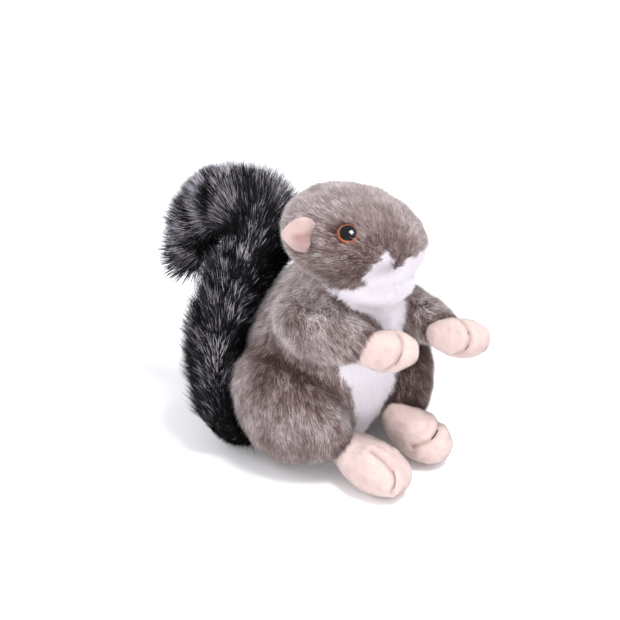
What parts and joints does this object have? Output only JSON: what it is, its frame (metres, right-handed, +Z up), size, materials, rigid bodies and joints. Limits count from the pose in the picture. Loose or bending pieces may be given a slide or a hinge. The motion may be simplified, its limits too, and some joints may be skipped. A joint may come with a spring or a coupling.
{
  "type": "plush toy squirrel",
  "caption": "Sitting stuffed soft-toy squirrel in grey and white plush, with velour paws and ears, glossy eyes and a long-pile tail that curls over backwards.",
  "frame": {"origin": "middle of the flat seat, on the surface the toy sits on", "axes": "+Z up; the toy faces -Y; its own right side is at -X and its left side at +X"},
  "size_m": [0.1389, 0.2008, 0.1722],
  "materials": {
    "body_plush": "short brushed pile, grey with white bib and muzzle",
    "velour": "short smooth nap, pale pink, with dark stitched toe lines",
    "tail_plush": "long pile, black with grey tips",
    "eye_plastic": "polished black dome with a brown rim"
  },
  "bodies": {
    "root": {"eye_right": "eye_plastic", "eye_left": "eye_plastic", "head": "body_plush", "ear_right": "velour", "ear_left": "velour", "foot_right": "velour", "foot_left": "velour", "haunch_right": "body_plush", "haunch_left": "body_plush", "hand_right": "velour", "hand_left": "velour", "arm_right": "body_plush", "arm_left": "body_plush", "trunk": "body_plush", "tail_base": "tail_plush", "tail_middle": "tail_plush", "tail_tip": "tail_plush"}
  },
  "joints": []
}
